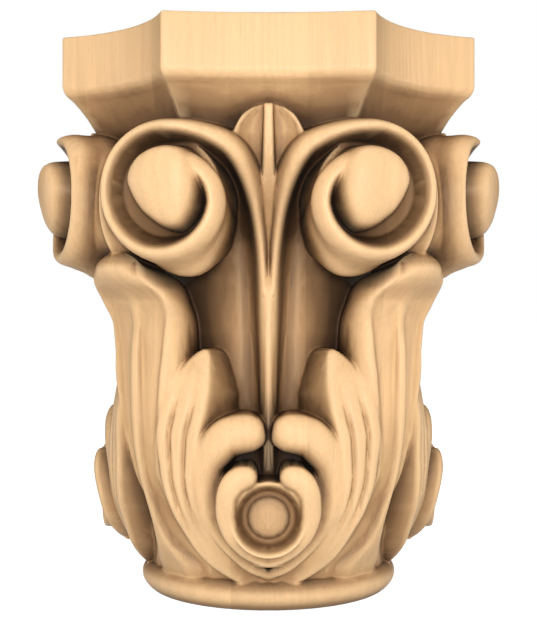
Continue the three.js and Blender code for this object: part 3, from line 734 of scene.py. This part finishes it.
for k in range(LOOKS):
    look = normal * rise[k] + (aside * cos(spin[k]) + upward * sin(spin[k])) * level[k]
    clear = np.ones(len(skin_places))
    for far in REACH:
        place = np.abs(skin_places + normal * START + look * far)
        at = np.rint(place / VOXEL - GRID_LOW).astype(int)
        inside = np.all(at < GRID_SIZE, axis=1)
        at = np.minimum(at, np.array(GRID_SIZE) - 1)
        hit = wood_there[at[:, 0], at[:, 1], at[:, 2]] & inside
        clear[hit & (clear == 1)] = sqrt(far / REACH[-1]) * LEFT_OPEN
    free += clear
free /= LOOKS
openness = skin.attributes.new("openness", "FLOAT", "POINT")
openness.data.foreach_set("value", free.astype(np.float32))

# Crest: how sharply the skin bends outwards, where hands and cloth wear it first. It lightens the
# colour there, partly as wear and partly as painted highlight.
bend = -6 * block
for axis in range(3):
    bend += np.roll(block, 1, axis) + np.roll(block, -1, axis)
bend = sampled(bend, skin_places) / VOXEL**2
CREST_BEND = 250  # one over metres: an edge rounded to about 4 mm
crest = skin.attributes.new("crest", "FLOAT", "POINT")
crest.data.foreach_set("value", np.clip(bend / CREST_BEND, 0, 1).astype(np.float32))

# Repeating: the eighth and its mirror image make a face, and the face is turned four times.
tree = bpy.data.node_groups.new("four_faces", "GeometryNodeTree")
tree.interface.new_socket("Geometry", in_out="INPUT", socket_type="NodeSocketGeometry")
faces_in = tree.interface.new_socket("Faces", in_out="INPUT", socket_type="NodeSocketInt")
wood_in = tree.interface.new_socket("Wood", in_out="INPUT", socket_type="NodeSocketMaterial")
tree.interface.new_socket("Geometry", in_out="OUTPUT", socket_type="NodeSocketGeometry")


def add(kind, **settings):
    node = tree.nodes.new(kind)
    for name, value in settings.items():
        setattr(node, name, value)
    return node


def wire(source, target):
    tree.links.new(source, target)


given = add("NodeGroupInput")
other = add("GeometryNodeTransform")
other.inputs["Scale"].default_value = (-1, 1, 1)
flipped = add("GeometryNodeFlipFaces")
face = add("GeometryNodeJoinGeometry")
places = add("GeometryNodeMeshLine")
places.inputs["Offset"].default_value = (0, 0, 0)
turned = add("GeometryNodeInstanceOnPoints")
number = add("GeometryNodeInputIndex")
angle = add("ShaderNodeMath", operation="MULTIPLY")
step = add("ShaderNodeMath", operation="DIVIDE")
step.inputs[0].default_value = 2 * pi
axis = add("ShaderNodeCombineXYZ")
real = add("GeometryNodeRealizeInstances")
finish = add("GeometryNodeSetMaterial")
result = add("NodeGroupOutput")
wire(given.outputs["Geometry"], other.inputs["Geometry"])
wire(other.outputs["Geometry"], flipped.inputs["Mesh"])
wire(given.outputs["Geometry"], face.inputs["Geometry"])
wire(flipped.outputs["Mesh"], face.inputs["Geometry"])
wire(given.outputs["Faces"], places.inputs["Count"])
wire(places.outputs["Mesh"], turned.inputs["Points"])
wire(face.outputs["Geometry"], turned.inputs["Instance"])
wire(number.outputs["Index"], angle.inputs[0])
wire(given.outputs["Faces"], step.inputs[1])
wire(step.outputs["Value"], angle.inputs[1])
wire(angle.outputs["Value"], axis.inputs["Z"])
wire(axis.outputs["Vector"], turned.inputs["Rotation"])
wire(turned.outputs["Instances"], real.inputs["Geometry"])
wire(real.outputs["Geometry"], finish.inputs["Geometry"])
wire(given.outputs["Wood"], finish.inputs["Material"])
wire(finish.outputs["Geometry"], result.inputs["Geometry"])

# Pale wood: boards glued side by side with their grain upright, sanded and oiled. Its colour is
# painted darker in the hollows, which is painted shade, and lighter on the crests, which is partly
# wear and partly painted highlight.
BOARD_WIDE = 0.058
BOARD_SHIFT = 0.37  # how far each board's figure is moved on from its neighbour's
wood = bpy.data.materials.new("pale_wood")
wood.use_nodes = True
nodes = wood.node_tree.nodes
bsdf = nodes["Principled BSDF"]


def place_node(kind, **settings):
    node = nodes.new(kind)
    for name, value in settings.items():
        setattr(node, name, value)
    return node


def feed(socket, source):
    """Sets a socket to a number, a colour or another node's output."""
    if isinstance(source, bpy.types.NodeSocket):
        wood.node_tree.links.new(source, socket)
    else:
        socket.default_value = source


def sum_of(operation, *values):
    node = place_node("ShaderNodeMath", operation=operation)
    for socket, value in zip(node.inputs, values):
        feed(socket, value)
    return node.outputs["Value"]


def ranged(value, low, high, to_low, to_high):
    """A value from low to high, brought to the range from to_low to to_high."""
    node = place_node("ShaderNodeMapRange")
    for name, source in zip(
        ["Value", "From Min", "From Max", "To Min", "To Max"], [value, low, high, to_low, to_high]
    ):
        feed(node.inputs[name], source)
    return node.outputs["Result"]


def mottle(stretch, scale, detail, at):
    """Noise stretched along the grain by the sizes given, sampled at the place given."""
    mapping = place_node("ShaderNodeMapping")
    mapping.inputs["Scale"].default_value = stretch
    feed(mapping.inputs["Vector"], at)
    noise = place_node("ShaderNodeTexNoise")
    feed(noise.inputs["Vector"], mapping.outputs["Vector"])
    noise.inputs["Scale"].default_value = scale
    noise.inputs["Detail"].default_value = detail
    return noise.outputs["Fac"]


where = place_node("ShaderNodeTexCoord").outputs["Object"]
parted = place_node("ShaderNodeSeparateXYZ")
feed(parted.inputs["Vector"], where)
across = sum_of("ADD", parted.outputs["X"], BOARD_WIDE / 2)
board = sum_of("FLOOR", sum_of("DIVIDE", across, BOARD_WIDE))
board_tone = place_node("ShaderNodeTexWhiteNoise", noise_dimensions="1D")
feed(board_tone.inputs["W"], board)
own_place = place_node("ShaderNodeCombineXYZ")
feed(own_place.inputs["X"], parted.outputs["X"])
shifted = sum_of("ADD", parted.outputs["Y"], sum_of("MULTIPLY", board, BOARD_SHIFT))
feed(own_place.inputs["Y"], shifted)
feed(own_place.inputs["Z"], parted.outputs["Z"])
own = own_place.outputs["Vector"]

yearly = mottle((1, 1, 0.07), 9.0, 2.0, own)
yearly_lines = sum_of("SINE", sum_of("MULTIPLY", yearly, 190.0))
fibres = mottle((1, 1, 0.02), 900.0, 4.0, own)
clouds = mottle((1, 1, 0.3), 14.0, 3.0, own)
pores = mottle((1, 1, 0.045), 1500.0, 1.0, own)
tone = sum_of(
    "MULTIPLY",
    ranged(board_tone.outputs["Value"], 0, 1, 0.965, 1.02),
    ranged(yearly_lines, -1, 1, 0.965, 1.01),
)
tone = sum_of("MULTIPLY", tone, ranged(fibres, 0.3, 0.7, 0.95, 1.03))
tone = sum_of("MULTIPLY", tone, ranged(clouds, 0.3, 0.7, 0.965, 1.02))
tone = sum_of("MULTIPLY", tone, ranged(pores, 0.66, 0.74, 1.0, 0.86))

# Painted shade: openness darkens the colour through the ramp below, so the hollows are nearly
# black.
open_to_air = place_node("ShaderNodeAttribute", attribute_name="openness").outputs["Fac"]
crest_wear_and_highlight = place_node("ShaderNodeAttribute", attribute_name="crest").outputs["Fac"]
patchy = sum_of("ADD", open_to_air, ranged(clouds, 0.3, 0.7, -0.02, 0.02))
wood_and_shade_ramp = place_node("ShaderNodeValToRGB")
feed(wood_and_shade_ramp.inputs["Fac"], patchy)
ramp = wood_and_shade_ramp.color_ramp
WOOD_AND_PAINTED_SHADE = [
    # how open the place is, and its colour: the wood's own colour where open, painted shade going
    # to near black where hemmed in
    [0.22, (0.012, 0.005, 0.002, 1)],
    [0.46, (0.060, 0.028, 0.010, 1)],
    [0.66, (0.20, 0.105, 0.045, 1)],
    [0.82, (0.45, 0.255, 0.115, 1)],
    [0.92, (0.72, 0.445, 0.215, 1)],
    [0.985, (0.93, 0.59, 0.30, 1)],
]
for element, (place, colour) in zip(ramp.elements, [WOOD_AND_PAINTED_SHADE[0], WOOD_AND_PAINTED_SHADE[-1]]):
    element.position = place
    element.color = colour
for place, colour in WOOD_AND_PAINTED_SHADE[1:-1]:
    ramp.elements.new(place).color = colour
# Crests are mixed towards a lighter colour: partly wear, partly painted highlight.
worn_and_highlight = place_node("ShaderNodeMix", data_type="RGBA", blend_type="MIX")
feed(worn_and_highlight.inputs["Factor"], sum_of("MULTIPLY", crest_wear_and_highlight, 0.35))
feed(worn_and_highlight.inputs["A"], wood_and_shade_ramp.outputs["Color"])
worn_and_highlight.inputs["B"].default_value = (0.98, 0.67, 0.37, 1)
tinted = place_node("ShaderNodeMix", data_type="RGBA", blend_type="MULTIPLY")
tinted.inputs["Factor"].default_value = 1.0
feed(tinted.inputs["A"], worn_and_highlight.outputs["Result"])
feed(tinted.inputs["B"], tone)
feed(bsdf.inputs["Base Color"], tinted.outputs["Result"])
rough = sum_of("ADD", ranged(fibres, 0.3, 0.7, 0.50, 0.60), ranged(patchy, 0.3, 1.0, 0.16, 0.0))
polish = sum_of("MULTIPLY", crest_wear_and_highlight, 0.10)
feed(bsdf.inputs["Roughness"], sum_of("SUBTRACT", rough, polish))
bsdf.inputs["Specular IOR Level"].default_value = 0.2

CUTTER_STEP = 0.0016  # the carving machine's passes still show faintly, one above the other
passes = sum_of("SINE", sum_of("MULTIPLY", parted.outputs["Z"], 2 * pi / CUTTER_STEP))
pitted = sum_of("ADD", fibres, sum_of("MULTIPLY", pores, -0.6))
relief = sum_of("ADD", sum_of("MULTIPLY", passes, 0.22), pitted)
bump = place_node("ShaderNodeBump")
bump.inputs["Strength"].default_value = 0.35
bump.inputs["Distance"].default_value = 0.00025
feed(bump.inputs["Height"], relief)
feed(bsdf.inputs["Normal"], bump.outputs["Normal"])

repeat = eighth.modifiers.new("four_faces", "NODES")
repeat.node_group = tree
repeat[faces_in.identifier] = 4
repeat[wood_in.identifier] = wood
whole = as_made(eighth, repeat)
bpy.data.objects.remove(eighth)
SEAM = 1e-6  # points of two eighths closer than this are one
sewn = bmesh.new()
sewn.from_mesh(whole)
bmesh.ops.remove_doubles(sewn, verts=sewn.verts[:], dist=SEAM)
bmesh.ops.recalc_face_normals(sewn, faces=sewn.faces[:])
sewn.to_mesh(whole)
sewn.free()
whole.name = "carved_capital"
for polygon in whole.polygons:
    polygon.use_smooth = True
capital = bpy.data.objects.new("carved_capital", whole)
bpy.context.scene.collection.objects.link(capital)
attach(capital, "root")
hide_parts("capital")

# ---------------------------------------------------------------------------
# Floor and light: a plain pale floor under the capital, and a soft lamp in front of it with
# weaker ones behind, beside and above, in a white room that gives little light of its own.
# ---------------------------------------------------------------------------
FLOOR = 20  # from its middle to its edge
floor_mesh = bpy.data.meshes.new("floor")
corners = [(-FLOOR, -FLOOR, 0), (FLOOR, -FLOOR, 0), (FLOOR, FLOOR, 0), (-FLOOR, FLOOR, 0)]
floor_mesh.from_pydata(corners, [], [(0, 1, 2, 3)])
floor = bpy.data.objects.new("floor", floor_mesh)
bpy.context.scene.collection.objects.link(floor)
floor_paint = bpy.data.materials.new("floor_paint")
floor_paint.use_nodes = True
paint = floor_paint.node_tree.nodes["Principled BSDF"]
paint.inputs["Base Color"].default_value = (0.35, 0.35, 0.35, 1)
paint.inputs["Roughness"].default_value = 1.0
paint.inputs["Specular IOR Level"].default_value = 0.0
paint.inputs["Emission Color"].default_value = (1, 1, 1, 1)
paint.inputs["Emission Strength"].default_value = 0.97
floor_mesh.materials.append(floor_paint)

# The camera stands level, straight in front of a face and a little above the capital's middle.
CAMERA_AWAY = 6.17 * HALF
CAMERA_HIGH = 1.41 * HALF
lens = bpy.data.cameras.new("camera")
lens.sensor_width = 36
lens.lens = 68.6
camera = bpy.data.objects.new("camera", lens)
camera.location = (0, -CAMERA_AWAY, CAMERA_HIGH)
camera.rotation_euler = (pi / 2, 0, 0)
bpy.context.scene.collection.objects.link(camera)
bpy.context.scene.camera = camera


LAMP_AIM = Vector((0, 0, 0.23))
LAMP_SIZE = 0.30


def soft_box(name, place, power):
    light = bpy.data.lights.new(name, "AREA")
    light.shape = "DISK"
    light.size = LAMP_SIZE
    light.energy = power
    lamp = bpy.data.objects.new(name, light)
    lamp.location = place
    lamp.rotation_euler = (LAMP_AIM - Vector(place)).to_track_quat("-Z", "Y").to_euler()
    bpy.context.scene.collection.objects.link(lamp)


soft_box("front_light", (0, -1.5, 0.30), 21)
soft_box("back_light", (0, 1.5, 0.30), 16)
soft_box("left_light", (-1.5, 0, 0.30), 5)
soft_box("right_light", (1.5, 0, 0.30), 5)
overhead = bpy.data.lights.new("overhead", "SUN")
overhead.energy = 0.9
overhead.angle = radians(25)
overhead_lamp = bpy.data.objects.new("overhead", overhead)
bpy.context.scene.collection.objects.link(overhead_lamp)
floor.visible_diffuse = False
world = bpy.data.worlds.new("studio")
world.use_nodes = True
air = world.node_tree
air.nodes["Background"].inputs["Color"].default_value = (1, 1, 1, 1)
path = air.nodes.new("ShaderNodeLightPath")
wall = air.nodes.new("ShaderNodeMapRange")
wall.inputs["To Min"].default_value = 0.06
wall.inputs["To Max"].default_value = 1.0
air.links.new(path.outputs["Is Camera Ray"], wall.inputs["Value"])
air.links.new(wall.outputs["Result"], air.nodes["Background"].inputs["Strength"])
bpy.context.scene.world = world
bpy.context.scene.view_settings.view_transform = "Standard"
